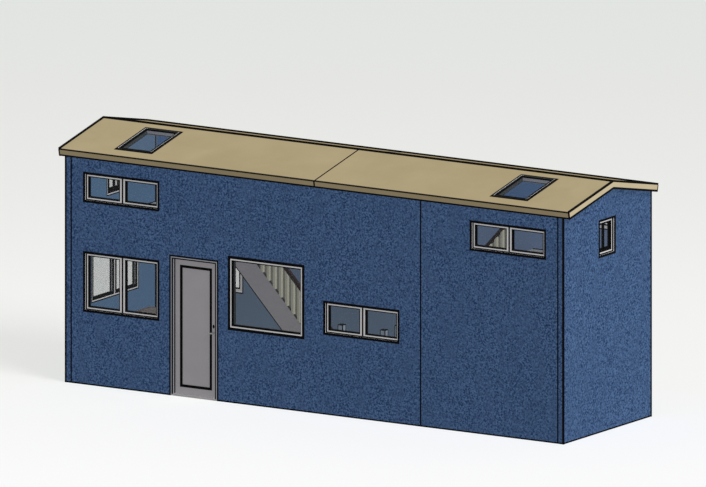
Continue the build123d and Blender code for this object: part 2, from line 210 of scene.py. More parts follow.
def sheet_finish(name, low, high, gloss=0.1):
    """Painted metal sheet: faint clouding, fine grain in the paint."""
    s = Shader(name, gloss)
    cloud = s.noise(1.3, 3.0, 0.55, 0.3)
    grain = s.noise(170.0, 2.0, 0.6)
    tone = s.math("ADD", s.tone(cloud, 0.0, 0.7), s.tone(grain, 0.0, 0.3))
    return s.finished(s.mix(tone, low, high), s.tone(cloud, 0.5, 0.62), grain, 0.0006, 0.3)


def moulded_finish(name, low, high, rough, gloss):
    """Extruded or moulded plastic and rubber with a fine grain and faint streaks."""
    s = Shader(name, gloss)
    streak = s.noise(3.0, 3.0, 0.6, 0.2)
    grain = s.noise(240.0, 2.0, 0.5)
    return s.finished(s.mix(s.tone(streak), low, high),
                      s.tone(grain, rough - 0.06, rough + 0.08), grain, 0.0004, 0.25)


def brushed_finish(name, low, high, stretch):
    """Brushed metal with fine scratches along one way."""
    s = Shader(name)
    scratch = s.noise(1.0, 3.0, 0.6, 0.0, s.stretched(*stretch))
    s.feed(s.principled, {"Metallic": 0.6})
    return s.finished(s.mix(s.tone(scratch), low, high), s.tone(scratch, 0.32, 0.5), scratch,
                      0.0003, 0.3)


def timber_finish(name, low, high, stretch, rough=0.6):
    """Painted or oiled timber: grain lines along one way, over slow changes of tone."""
    s = Shader(name, gloss=0.15)
    grain = s.noise(1.0, 4.0, 0.65, 0.6, s.stretched(*stretch))
    drift = s.noise(2.2, 2.0, 0.5)
    pattern = s.math("ADD", s.tone(grain, 0.0, 0.65), s.tone(drift, 0.0, 0.35))
    return s.finished(s.mix(pattern, low, high), s.tone(grain, rough - 0.08, rough + 0.1),
                      grain, 0.0008, 0.35)


# Floor boards: their width and length, and the joints between them
BOARD_WIDTH = 0.14
BOARD_LENGTH = 1.9
BOARD_JOINT = 0.0015
JOINT_SHADE = 0.35


def board_finish(name, low, high):
    """Floor boards: rows of boards with thin dark joints, each with its own tone."""
    s = Shader(name, gloss=0.15)
    joint = tuple(JOINT_SHADE * c for c in low[:3]) + (1.0,)
    bricks = s.add("ShaderNodeTexBrick", {
        "Vector": s.place, "Scale": 1.0, "Mortar Size": BOARD_JOINT, "Mortar Smooth": 0.2,
        "Brick Width": BOARD_LENGTH, "Row Height": BOARD_WIDTH, "Color1": low, "Color2": high,
        "Mortar": joint}, offset=0.37, offset_frequency=2)
    grain = s.noise(1.0, 4.0, 0.65, 0.5, s.stretched(4.0, 60.0, 60.0))
    return s.finished(s.mix(s.tone(grain, 0.0, 0.3), bricks.outputs["Color"], low),
                      s.tone(grain, 0.5, 0.68), grain, 0.0006, 0.3)


# Double glazing: how much of its sheen shows at a low angle and how steeply that grows, and how
# milky it is where it stands upright and where it lies in the roof
SHEEN_SHARE = 0.3
SHEEN_POWER = 5.0
UPRIGHT_HAZE = 0.024
LYING_HAZE = 0.015
LYING_TILT = 0.98


def glass_finish():
    """Clear double glazing: see-through, faintly grey, with a sheen that grows at an angle."""
    s = Shader("glass")
    clear = s.add("ShaderNodeBsdfTransparent", {"Color": srgb(238, 239, 239)})
    smear = s.noise(2.5, 2.0, 0.5, 0.4)
    grey = s.mix(smear, srgb(150, 155, 162), srgb(160, 165, 172))
    s.feed(s.principled, {"Base Color": grey, "Roughness": 0.05, "IOR": 1.5})
    facing = s.add("ShaderNodeLayerWeight", {}).outputs["Facing"]
    sheen = s.math("MULTIPLY", s.math("POWER", facing, SHEEN_POWER), SHEEN_SHARE)
    _, _, tilt = s.parts(s.add("ShaderNodeTexCoord", {}).outputs["Normal"])
    haze = s.spread(s.absolute(tilt), 0.0, LYING_TILT, UPRIGHT_HAZE, LYING_HAZE)
    film = s.math("ADD", sheen, s.math("MULTIPLY", haze, s.tone(smear, 0.9, 1.1)))
    s.end(film, clear.outputs["BSDF"], s.principled.outputs["BSDF"], "Material Output")
    return s.material


# How much finer scratches and grain are along x, y and z: least along the way that they run
SCRATCH_UP = (500.0, 60.0, 60.0)
SCRATCH_ALONG = (30.0, 500.0, 500.0)
GRAIN_ALONG = (6.0, 40.0, 40.0)
GRAIN_ACROSS = (40.0, 6.0, 40.0)
GRAIN_UP = (40.0, 40.0, 5.0)
FINE_GRAIN = (7.0, 60.0, 60.0)

# Each finish: its name, its maker, its dark and light colour, and what else the maker takes
FINISHES = (
    ("roof_sheet", sheet_finish, srgb(166, 151, 117), srgb(177, 162, 128), 0.0),
    ("barge_sheet", sheet_finish, srgb(192, 177, 144), srgb(204, 190, 157), 0.0),
    ("window_frame", moulded_finish, srgb(203, 201, 201), srgb(214, 212, 212), 0.5, 0.15),
    ("seal", moulded_finish, srgb(2, 2, 3), srgb(6, 6, 7), 0.85, 0.05),
    # Frame colour darkened as painted shade, for the head linings of the roof windows
    ("lining_grey", moulded_finish, srgb(166, 166, 176), srgb(176, 176, 186), 0.7, 0.1),
    ("lining_dark", moulded_finish, srgb(44, 47, 46), srgb(54, 57, 56), 0.8, 0.05),
    ("door_paint", sheet_finish, srgb(156, 153, 156), srgb(166, 163, 166)),
    ("door_frame_paint", sheet_finish, srgb(148, 150, 158), srgb(160, 162, 170)),
    ("door_metal", brushed_finish, srgb(128, 128, 128), srgb(148, 148, 147), SCRATCH_UP),
    ("sill_metal", brushed_finish, srgb(140, 138, 140), srgb(156, 154, 156), SCRATCH_ALONG),
    ("floor_board", board_finish, srgb(146, 124, 96), srgb(164, 142, 112)),
    ("loft_board", board_finish, srgb(124, 127, 131), srgb(138, 141, 145)),
    ("stair_paint", timber_finish, srgb(158, 156, 161), srgb(170, 168, 173), GRAIN_ALONG),
    ("tread_board", timber_finish, srgb(100, 94, 86), srgb(118, 111, 102), GRAIN_ACROSS),
    ("baluster_paint", timber_finish, srgb(178, 176, 162), srgb(190, 188, 174), GRAIN_UP),
    ("newel_paint", timber_finish, srgb(141, 154, 170), srgb(153, 166, 182), GRAIN_UP),
    ("handrail_wood", timber_finish, srgb(46, 38, 38), srgb(57, 47, 46), GRAIN_ALONG, 0.45),
    ("table_wood", timber_finish, srgb(68, 54, 48), srgb(88, 70, 62), FINE_GRAIN, 0.5),
    # Grey sheet behind the balusters: painted shade for the gaps between them
    ("infill_grey", timber_finish, srgb(122, 122, 114), srgb(134, 134, 126), GRAIN_ALONG),
    ("table_field", timber_finish, srgb(88, 78, 70), srgb(104, 92, 82), FINE_GRAIN, 0.5),
)
MATERIALS = {name: maker(name, low, high, *rest) for name, maker, low, high, *rest in FINISHES}
MATERIALS.update(wall_render=render_finish(), glass=glass_finish())

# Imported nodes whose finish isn't that of their slot
NODE_FINISHES = {"stair_newels": "newel_paint"}

# Finishes that aren't slots of the record, each with the slot that it belongs to
SPECIAL_FINISHES = {"barge_sheet": "roof_sheet", "lining_grey": "window_frame",
                    "lining_dark": "seal", "infill_grey": "stair_paint",
                    "table_field": "table_wood"}


def dress_nodes():
    """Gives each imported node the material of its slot, or its own."""
    for part in frame["record"]["subparts"]:
        mesh = nodes[part["node"]].data
        mesh.materials.clear()
        mesh.materials.append(MATERIALS[NODE_FINISHES.get(part["node"], part["material_slot"])])


# Mesh helpers
SHARP_ANGLE = math.radians(50)
# Corners of one solid that lie this close together, in metres, are one corner
SAME_PLACE = 1e-4
SAME_PLACE_DIGITS = 5


class Shape:
    """Corners and faces of one piece while it is being made."""

    def __init__(self):
        self.points = []
        self.faces = []

    def loops(self, loops, closed):
        """Skin over a row of loops with equal numbers of points. A closed row runs round."""
        first = len(self.points)
        size = len(loops[0])
        for loop in loops:
            self.points.extend(loop)
        rows = len(loops)
        for i in range(rows if closed else rows - 1):
            a, b = first + i * size, first + ((i + 1) % rows) * size
            for k in range(size):
                n = (k + 1) % size
                self.faces.append((a + k, a + n, b + n, b + k))
        if not closed:
            self.faces.append(tuple(first + k for k in reversed(range(size))))
            self.faces.append(tuple(first + (rows - 1) * size + k for k in range(size)))

    def bar(self, start, end, section):
        """A straight bar whose section is a list of offsets from its line."""
        self.loops([[start + o for o in section], [end + o for o in section]], False)

    def sheet(self, corners, offset):
        """A flat sheet over some corners, as thick as an offset."""
        self.loops([corners, [p + offset for p in corners]], False)

    def ring(self, side, rect, section):
        """A mitred ring round rect. section holds pairs: how far out of rect, and how deep."""
        u0, u1, v0, v1 = rect
        corners = ((u0, v0, -1, -1), (u1, v0, 1, -1), (u1, v1, 1, 1), (u0, v1, -1, 1))
        self.loops(mitred(side, corners, section), True)

    def arch(self, side, rect, section):
        """A mitred run up one side of rect, over its top and down the other side."""
        u0, u1, v0, v1 = rect
        corners = ((u0, v0, -1, 0), (u0, v1, -1, 1), (u1, v1, 1, 1), (u1, v0, 1, 0))
        self.loops(mitred(side, corners, section), False)


def mitred(side, corners, section):
    """A section set at each corner (u, v and the ways that lead out there)."""
    return [[side.point(u + su * out, v + sv * out, deep) for out, deep in section]
            for u, v, su, sv in corners]


def add_object(name, data):
    thing = bpy.data.objects.new(name, data)
    bpy.context.scene.collection.objects.link(thing)
    return thing


def make_piece(name, shape, slot="seal", body="house", smooth=True):
    """Turns a shape into an object that rides on a body and wears its slot's material."""
    mesh = bpy.data.meshes.new(name)
    mesh.from_pydata([tuple(p) for p in shape.points], [], shape.faces)
    mesh.validate()
    piece = add_object(name, mesh)
    mesh.materials.append(MATERIALS[slot])
    if smooth:
        mesh.shade_smooth()
        mesh.set_sharp_from_angle(angle=SHARP_ANGLE)
    SPECIAL_FINISHES.get(slot, slot)
    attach(piece, body)
    return piece


def level_rect(x0, x1, y0, y1, z):
    return [Vector((x0, y0, z)), Vector((x1, y0, z)), Vector((x1, y1, z)), Vector((x0, y1, z))]


# Section shapes, as pairs of (out, deep) or offsets
BEAD_EDGE_SHARE = 0.3
BEAD_FOOT_SHARE = 0.4
BEAD_STEPS = 6


def bead(inner, outer, proud, sunk=0.0):
    """A flat rounded bead between two lines, standing proud of a surface."""
    width = outer - inner
    soft = min(BEAD_EDGE_SHARE * width, proud)
    return [(inner, sunk), (inner, -proud + soft), (inner + soft, -proud),
            (outer - soft, -proud), (outer, -proud + soft), (outer, sunk)]


def turned_in(section):
    """The same section on the inner face of the wall, standing proud into the room."""
    return [(out, WALL - deep) for out, deep in reversed(section)]


def box_section(a, a0, a1, b, b0, b1):
    """A rectangle between a0 and a1 along direction a, and b0 and b1 along direction b."""
    return [a * a0 + b * b0, a * a1 + b * b0, a * a1 + b * b1, a * a0 + b * b1]


def angle_section(along_1, normal_1, along_2, normal_2, leg, thick):
    """An angle trim over an arris: one leg on each face, with a mitred outer corner."""
    return [Vector((0, 0, 0)), along_1 * leg, along_1 * leg + normal_1 * thick,
            (normal_1 + normal_2) * thick, along_2 * leg + normal_2 * thick, along_2 * leg]


def bead_section(along, normal, width, proud):
    """A rounded bead centred on a line, with its foot a little inside the surface."""
    half = width / 2
    foot = -BEAD_FOOT_SHARE * proud
    points = [along * half + normal * foot]
    for i in range(BEAD_STEPS + 1):
        turn = math.pi * i / BEAD_STEPS
        points.append(along * (half * math.cos(turn)) + normal * (proud * math.sin(turn)))
    points.append(along * -half + normal * foot)
    return points


# Sides of the house: u runs to the right as seen from outside, v up, depth into the house
class Side:
    def __init__(self, right, inward, plane):
        self.right, self.inward, self.plane = Vector(right), Vector(inward), plane

    def point(self, u, v, depth=0.0):
        return self.right * u + Vector((0, 0, v)) + self.inward * (depth - self.plane)

    def rect(self, low, high):
        """(u0, u1, v0, v1, near depth, far depth) of a box."""
        across = sorted((self.right.dot(low), self.right.dot(high)))
        deep = sorted((self.inward.dot(low) + self.plane, self.inward.dot(high) + self.plane))
        return (*across, low.z, high.z, *deep)


UP = Vector((0, 0, 1))
ZERO = Vector((0, 0, 0))
HALF_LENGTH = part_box("end_wall_right")[1].x
HALF_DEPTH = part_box("end_wall_right")[1].y
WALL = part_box("end_wall_left")[1].x + HALF_LENGTH
SIDES = {
    "front": Side((1, 0, 0), (0, 1, 0), HALF_DEPTH),
    "back": Side((-1, 0, 0), (0, -1, 0), HALF_DEPTH),
    "left": Side((0, -1, 0), (1, 0, 0), HALF_LENGTH),
    "right": Side((0, 1, 0), (-1, 0, 0), HALF_LENGTH),
}
# The ways from the middle of the house to its four corners, as signs of x and y
CORNERS = [(sx, sy) for sx in (-1, 1) for sy in (-1, 1)]


def side_of(low, high):
    """The side whose wall holds a window's box."""
    middle = (low + high) / 2
    if abs(abs(middle.y) - HALF_DEPTH) < WALL:
        return SIDES["front" if middle.y < 0 else "back"]
    return SIDES["left" if middle.x < 0 else "right"]


def islands(name):
    """The boxes of a node's separate solids, each as (lowest, highest) corner."""
    mesh = nodes[name].data
    keys = [tuple(round(c, SAME_PLACE_DIGITS) for c in v.co) for v in mesh.vertices]
    group = {key: key for key in keys}

    def top(key):
        while group[key] != key:
            group[key] = group[group[key]]
            key = group[key]
        return key

    for polygon in mesh.polygons:
        first = top(keys[polygon.vertices[0]])
        for index in polygon.vertices[1:]:
            group[top(keys[index])] = first
    found = {}
    for key in group:
        found.setdefault(top(key), []).append(Vector(key))
    return [(Vector(map(min, zip(*points))), Vector(map(max, zip(*points))))
            for points in found.values()]


def windows(names):
    """Each solid of some window nodes: the node's name, the side and the rect on that side."""
    for name in names:
        for low, high in islands(name):
            side = side_of(low, high)
            yield name, side, side.rect(low, high)


def upright_angle(shape, foot, top, sx, sy, leg, thick):
    """An angle trim from foot up to a height, over an arris that looks out along sx and sy."""
    along_x, along_y = Vector((-sx, 0, 0)), Vector((0, -sy, 0))
    section = angle_section(along_x, -along_y, along_y, -along_x, leg, thick)
    shape.bar(foot, Vector((foot.x, foot.y, top)), section)


# Windows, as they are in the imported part
GLASS_COVER = 0.007
GLASS_SETBACK = 0.030
SASH_RECESS = 0.038
SASH_BACK = 0.008
FRAME_FACE = 0.022
MULLION_GAP = 0.020
MULLION_SETBACK = 0.010
GABLE_PANE = 0.45

# Window seals: LAP and LIP reach over what is beside them, COVER and LINING over the glass or
# the frame, PROUD stands off the face
OUTLINE_LAP = 0.010
OUTLINE_PROUD = 0.004
OUTLINE_RETURN = 0.010
FIXED_LAP = 0.012
FIXED_COVER = 0.031
INNER_OUTLINE = 0.012
INNER_LAP = 0.006
SEAL_PROUD = 0.002
SASH_SEAL_DEPTH = 0.016
SASH_SEAL_LAP = 0.014
MULLION_LAP = 0.003
PANE_LIP = 0.005
PANE_OVERHANG = 0.008
PANE_LINING = 0.014
END_LIP = 0.034
GABLE_LIP = 0.034
GABLE_LINING = 0.032
GABLE_BAR = 0.044
GABLE_RAIL = 0.045
BEAD_WIDTH = 0.016
BEAD_FRONT = 0.001
FIXED_GASKET = 0.022
GASKET_DEPTH = 0.004
FIXED_LINING = 0.030
FIXED_BACK_SEAL = 0.008


def build_outline_seals():
    """The black seals between each window frame and its wall, outside and inside, and those
    between the frame and its sashes."""
    outer, inner, sashes = Shape(), Shape(), Shape()
    reveal, proud = -FRAME_FACE, SEAL_PROUD
    for name, side, (*rect, _, _) in windows(WINDOW_NODES):
        if name == LARGE_WINDOW:
            outer.ring(side, rect, bead(-FIXED_COVER, FIXED_LAP, OUTLINE_PROUD))
        else:
            section = bead(reveal - proud, OUTLINE_LAP, OUTLINE_PROUD)
            section[0] = (reveal, OUTLINE_RETURN)
            section.insert(1, (reveal - proud, OUTLINE_RETURN))
            outer.ring(side, rect, section)
            sashes.ring(side, rect, [
                (reveal - SASH_SEAL_LAP, SASH_RECESS),
                (reveal - SASH_SEAL_LAP, SASH_RECESS - proud),
                (reveal - proud, SASH_RECESS - SASH_SEAL_DEPTH),
                (reveal, SASH_RECESS - SASH_SEAL_DEPTH), (reveal, SASH_RECESS)])
        inner.ring(side, rect, turned_in(bead(-INNER_OUTLINE, INNER_LAP, SEAL_PROUD)))
    make_piece("window_outline_seals", outer)
    make_piece("sash_seals", sashes)
    make_piece("window_inner_seals", inner)


def seal_fixed_pane(side, opening, near, far, face, panes, beads, linings):
    """The large window: a pale bead flush with its frame, a gasket beside the bead, and a deep
    dark lining behind the glass."""
    inner, outer, proud = -BEAD_WIDTH, -BEAD_WIDTH - FIXED_GASKET, SEAL_PROUD
    beads.ring(side, opening, [(inner, near), (inner, face + BEAD_FRONT),
                               (0.0, face + BEAD_FRONT), (0.0, near)])
    panes.ring(side, opening, [
        (outer, near), (outer, near - GASKET_DEPTH), (inner - proud, near - GASKET_DEPTH),
        (inner - proud, face), (inner, face), (inner, near)])
    deep, start = -FIXED_LINING, WALL - FIXED_BACK_SEAL
    linings.ring(side, opening, [(deep, far), (0.0, far), (0.0, WALL), (deep, WALL)])
    panes.ring(side, opening, [(deep, start), (deep, WALL + proud), (PANE_LIP, WALL + proud),
                               (0.0, WALL), (deep + proud, start)])


def build_pane_seals():
    """Black glazing seals: a sloping bead from the sash in to the glass, on both faces. The
    small gable windows also have an upright bar and a rail behind the glass."""
    panes, beads, linings, bars = Shape(), Shape(), Shape(), Shape()
    cover, proud, back = GLASS_COVER, SEAL_PROUD, WALL - SASH_BACK
    for name, side, (u0, u1, v0, v1, near, far) in windows(GLASS_NODES):
        opening = (u0 + cover, u1 - cover, v0 + cover, v1 - cover)
        face = near - GLASS_SETBACK
        if face < SASH_RECESS / 2:
            seal_fixed_pane(side, opening, near, far, face, panes, beads, linings)
            continue
        gable = u1 - u0 < GABLE_PANE
        lining = GABLE_LINING if gable else PANE_LINING
        panes.ring(side, opening, [(PANE_LIP, face), (PANE_LIP, face - proud),
                                   (-PANE_OVERHANG, face - proud), (-lining, near - proud),
                                   (-lining, near), (0.0, near), (0.0, face)])
        lip = GABLE_LIP if gable else END_LIP if name == "end_window_glass" else PANE_LIP
        panes.ring(side, opening, [(lip, back), (0.0, back), (0.0, far),
                                   (-lining, far), (-lining, far + proud),
                                   (0.0, back + proud), (lip, back + proud)])
        if gable:
            middle, front = (u0 + u1) / 2, near - 2 * proud
            rail_foot = v0 + cover
            for half, bottom, top in (
                    (GABLE_BAR / 2, v0, v1),
                    ((u1 - u0) / 2 - cover, rail_foot, rail_foot + GABLE_RAIL)):
                corners = ((-half, back), (half, back), (half, front), (-half, front))
                bars.bar(UP * bottom, UP * top,
                         [side.point(middle + a, 0, d) for a, d in corners])
    make_piece("pane_seals", panes)
    make_piece("large_window_beads", beads, "window_frame")
    make_piece("large_window_linings", linings, "lining_dark")
    make_piece("gable_window_bars", bars)


def build_mullion_seals():
    """The black seal in the gap between the two sashes of a window."""
    shape = Shape()
    half, proud = MULLION_GAP / 2, SASH_RECESS - SEAL_PROUD
    deep, wide = SASH_RECESS + MULLION_SETBACK, half + MULLION_LAP
    corners = ((-half, deep), (-half, SASH_RECESS), (-wide, SASH_RECESS), (-wide, proud),
               (wide, proud), (wide, SASH_RECESS), (half, SASH_RECESS), (half, deep))
    for name, side, (u0, u1, v0, v1, _, _) in windows(WINDOW_NODES):
        if name == LARGE_WINDOW or u1 - u0 < v1 - v0:
            continue
        middle = (u0 + u1) / 2
        section = [side.point(middle + u, 0, d) for u, d in corners]
        shape.bar(UP * (v0 + FRAME_FACE), UP * (v1 - FRAME_FACE), section)
    make_piece("mullion_seals", shape)


# Walls and lofts
JOINT_WIDTH = 0.023
JOINT_PROUD = 0.003
CORNER_LEG = 0.016
CORNER_THICKNESS = 0.009
TRIM_THICKNESS = 0.002
BASE_SEAL = 0.022
INNER_BEAD = 0.026
LOFT_SEAL = 0.012


def eaves_height_at(depth):
    """Height of the underside of the roof at a distance in from a long wall's outer face."""
    return EAVES_BOTTOM.z + depth * ROOF_UP.z / ROOF_UP.y


def build_wall_seals():
    """Black sealant at the joints between wall panels and at the corners of the house."""
    shape = Shape()
    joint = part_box("front_wall_right")[0].x
    back_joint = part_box("back_wall_left")[1].x
    top = eaves_height_at(0.0)
    lines = [("front", -HALF_LENGTH + WALL), ("front", HALF_LENGTH - WALL), ("front", joint),
             ("back", HALF_LENGTH - WALL), ("back", -HALF_LENGTH + WALL), ("back", -back_joint)]
    for name, u in lines:
        side = SIDES[name]
        section = bead_section(side.right, -side.inward, JOINT_WIDTH, JOINT_PROUD)
        shape.bar(side.point(u, 0.0), side.point(u, top), section)
    for sx, sy in CORNERS:
        upright_angle(shape, Vector((sx * HALF_LENGTH, sy * HALF_DEPTH, 0)), top, sx, sy,
                      CORNER_LEG, CORNER_THICKNESS)
    make_piece("wall_joint_seals", shape)


def build_base_seals():
    """A black seal round the foot of the walls, open at the doorway."""
    shape = Shape()
    door_left, door_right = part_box("door_jambs")[0].x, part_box("door_jambs")[1].x
    runs = [("front", -HALF_LENGTH, door_left), ("front", door_right, HALF_LENGTH),
            ("back", -HALF_LENGTH, HALF_LENGTH), ("left", -HALF_DEPTH, HALF_DEPTH),
            ("right", -HALF_DEPTH, HALF_DEPTH)]
    for name, u0, u1 in runs:
        side = SIDES[name]
        section = box_section(UP, 0.0, BASE_SEAL, -side.inward, 0.0, TRIM_THICKNESS)
        shape.bar(side.point(u0, 0.0), side.point(u1, 0.0), section)
    make_piece("base_seals", shape)


def build_inner_corner_seals():
    """Dark beads up the inner corners of the house."""
    shape = Shape()
    for sx, sy in CORNERS:
        corner = Vector((sx * (HALF_LENGTH - WALL), sy * (HALF_DEPTH - WALL), 0))
        a, b = Vector((-sx, 0, 0)), Vector((0, -sy, 0))
        section = [ZERO, a * INNER_BEAD / 2, (a + b) * INNER_BEAD / 4, b * INNER_BEAD / 2]
        shape.bar(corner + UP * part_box("floor")[1].z, corner + UP * eaves_height_at(WALL),
                  section)
    make_piece("inner_corner_seals", shape)


def build_loft_seals():
    """Dark sealant where the loft floors meet the walls, above and below."""
    shape = Shape()
    for name, outward in (("loft_left", -1), ("loft_right", 1)):
        low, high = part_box(name)
        wall, edge = (low.x, high.x) if outward < 0 else (high.x, low.x)
        runs = [((edge, low.y, 0), (wall, low.y, 0), (0, 1, 0)),
                ((edge, high.y, 0), (wall, high.y, 0), (0, -1, 0)),
                ((wall, low.y, 0), (wall, high.y, 0), (-outward, 0, 0))]
        for start, end, inward in (map(Vector, run) for run in runs):
            for z, up in ((high.z, UP), (low.z, -UP)):
                section = [ZERO, inward * LOFT_SEAL, (inward + up) * LOFT_SEAL / 2,
                           up * LOFT_SEAL]
                shape.bar(start + UP * z, end + UP * z, section)
    make_piece("loft_floor_seals", shape)


# Roof: its section is read from the corners of one packed panel
def roof_section():
    """The top and the foot of the front eaves, and the ridge."""
    points = [v.co.copy() for v in nodes["roof_front_left"].data.vertices]
    eaves_top = min(points, key=lambda p: p.y)
    eaves_bottom = min(points, key=lambda p: p.z)
    ridge_top = max(points, key=lambda p: p.z)
    return (Vector((0, eaves_top.y, eaves_top.z)), Vector((0, eaves_bottom.y, eaves_bottom.z)),
            Vector((0, 0, ridge_top.z)))


def facing_back(v):
    """The same vector on the back slope."""
    return Vector((v.x, -v.y, v.z))


EAVES_TOP, EAVES_BOTTOM, RIDGE_TOP = roof_section()
ROOF_UP = (RIDGE_TOP - EAVES_TOP).normalized()
ROOF_NORMAL = Vector((0, -ROOF_UP.z, ROOF_UP.y))
ROOF_THICKNESS = (EAVES_TOP - EAVES_BOTTOM).length
RIDGE_BOTTOM = RIDGE_TOP - UP * (ROOF_THICKNESS / ROOF_UP.y)
# Each slope: the way up it, its normal, and the top and foot of its eaves
FRONT_SLOPE = (ROOF_UP, ROOF_NORMAL, EAVES_TOP, EAVES_BOTTOM)
BACK_SLOPE = tuple(map(facing_back, FRONT_SLOPE))
# Each gable end of the roof: its place and the way out
ROOF_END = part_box("roof_front_right")[1].x
ROOF_ENDS = [(Vector((x * ROOF_END, 0, 0)), Vector((x, 0, 0))) for x in (-1, 1)]
ROOF_LEFT, ROOF_RIGHT = ROOF_ENDS[0][0], ROOF_ENDS[1][0]
ROOF_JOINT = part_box("roof_front_right")[0].x

ROOF_LEG = 0.013
EAVES_TOP_LEG = 0.032
EAVES_FACE_LEG = 0.008
EAVES_FOOT_LEG = 0.023
DRIP = 0.006
UPSTAND = 0.025
UPSTAND_WIDTH = 0.016
BARGE_EDGE = 0.004
BARGE_FOOT = 0.026
BARGE_THICKNESS = 0.003
RIDGE_LEG = 0.012
RIDGE_THICKNESS = 0.014
ROOF_JOINT_WIDTH = 0.027


def build_barge_cappings():
    """Thin pale sheets over the gable ends of the roof panels."""
    shape = Shape()
    outline = [EAVES_BOTTOM, EAVES_TOP, RIDGE_TOP, facing_back(EAVES_TOP),
               facing_back(EAVES_BOTTOM), RIDGE_BOTTOM]
    for end, outward in ROOF_ENDS:
        rows = [[end + p for p in outline],
                [end + p + outward * BARGE_THICKNESS for p in outline]]
        shape.loops(rows if outward.x > 0 else rows[::-1], False)
    make_piece("barge_cappings", shape, "barge_sheet", smooth=False)


def build_eaves_trims():
    """Dark trims along the top and the foot of the eaves, and an upstand along the back."""
    shape, thick = Shape(), TRIM_THICKNESS
    for up, normal, top, bottom in (FRONT_SLOPE, BACK_SLOPE):
        shape.bar(ROOF_LEFT + top, ROOF_RIGHT + top, [
            ZERO, normal * -EAVES_FACE_LEG, normal * -EAVES_FACE_LEG - up * thick,
            (normal - up) * thick, up * EAVES_TOP_LEG + normal * thick, up * EAVES_TOP_LEG])
        shape.bar(ROOF_LEFT + bottom, ROOF_RIGHT + bottom, [
            ZERO, normal * EAVES_FOOT_LEG, normal * EAVES_FOOT_LEG - up * thick,
            (-normal - up) * thick, up * ROOF_LEG - normal * DRIP, up * ROOF_LEG])
    back_up, back_normal, back_top, _ = BACK_SLOPE
    raised = box_section(back_up, 0.0, UPSTAND_WIDTH, back_normal, 0.0, UPSTAND)
    shape.bar(ROOF_LEFT + back_top, ROOF_RIGHT + back_top, raised)
    make_piece("eaves_drip_trims", shape)


def build_gable_trims():
    """Dark trims along the gable edges of the slopes, above and below, and up the cut ends of
    the eaves."""
    shape = Shape()
    for up, normal, top, bottom in (FRONT_SLOPE, BACK_SLOPE):
        for end, outward in ROOF_ENDS:
            proud = outward * 2 * BARGE_THICKNESS
            shape.bar(end + top, end + RIDGE_TOP, [
                UP * -BARGE_EDGE, UP * -BARGE_EDGE + proud, normal * UPSTAND + proud,
                normal * UPSTAND - outward * UPSTAND_WIDTH, outward * -UPSTAND_WIDTH])
            shape.bar(end + bottom, end + RIDGE_BOTTOM, [
                ZERO, UP * BARGE_FOOT, UP * BARGE_FOOT + proud, proud - normal * DRIP,
                -normal * DRIP - outward * ROOF_LEG, outward * -ROOF_LEG])
            shape.bar(end + bottom, end + top,
                      angle_section(-outward, -up, up, outward, ROOF_LEG, DRIP))
    make_piece("gable_drip_trims", shape)


def build_roof_joints():
    """Seals over the joint at mid-length, along the ridge and down the mitre at its ends."""
    shape = Shape()
    middle, across = Vector((ROOF_JOINT, 0, 0)), Vector((1, 0, 0))
    for up, normal, top, bottom in (FRONT_SLOPE, BACK_SLOPE):
        shape.bar(middle + top, middle + RIDGE_TOP,
                  bead_section(across, normal, ROOF_JOINT_WIDTH, JOINT_PROUD))
        shape.bar(middle + bottom, middle + top,
                  bead_section(across, -up, ROOF_JOINT_WIDTH, JOINT_PROUD))
    back_up, back_normal, _, _ = BACK_SLOPE
    shape.bar(ROOF_LEFT + RIDGE_TOP, ROOF_RIGHT + RIDGE_TOP,
              angle_section(-ROOF_UP, ROOF_NORMAL, -back_up, back_normal, RIDGE_LEG,
                            RIDGE_THICKNESS))
    for end, outward in ROOF_ENDS:
        mitre = bead_section(Vector((0, 1, 0)), outward, ROOF_LEG, JOINT_PROUD)
        shape.bar(end + RIDGE_BOTTOM, end + RIDGE_TOP, mitre)
    make_piece("roof_joint_seals", shape)


# Roof windows
FLASHING_WIDTH = 0.020
FLASHING_PROUD = 0.004
SKYLIGHT_LIP = 0.012
SKYLIGHT_FACE = 0.052
SKYLIGHT_GASKET = 0.024
SKYLIGHT_EDGE = 0.018
SKYLIGHT_FOOT = 0.030
LINING_THICKNESS = 0.002
SKYLIGHT_END_LEG = 0.006
SKYLIGHT_END_LAP = 0.004
SKYLIGHT_END_RETURN = 0.012


class Slope:
    """The front slope as a side: u to the right, v up the slope, depth into the roof."""

    def point(self, u, v, depth=0.0):
        return EAVES_TOP + Vector((u, 0, 0)) + ROOF_UP * v - ROOF_NORMAL * depth

    def points(self, *corners):
        return [self.point(*corner) for corner in corners]


def slope_rects(name):
    """(u0, u1, v0, v1, near and far depth) of each solid of a node on the front slope."""
    rects = []
    points = [v.co for v in nodes[name].data.vertices]
    for low, high in islands(name):
        own = [p for p in points if low.x - SAME_PLACE <= p.x <= high.x + SAME_PLACE]
        across = [p.x for p in own]
        along = [(p - EAVES_TOP).dot(ROOF_UP) for p in own]
        deep = [-(p - EAVES_TOP).dot(ROOF_NORMAL) for p in own]
        rects.append((min(across), max(across), min(along), max(along), min(deep), max(deep)))
    return rects


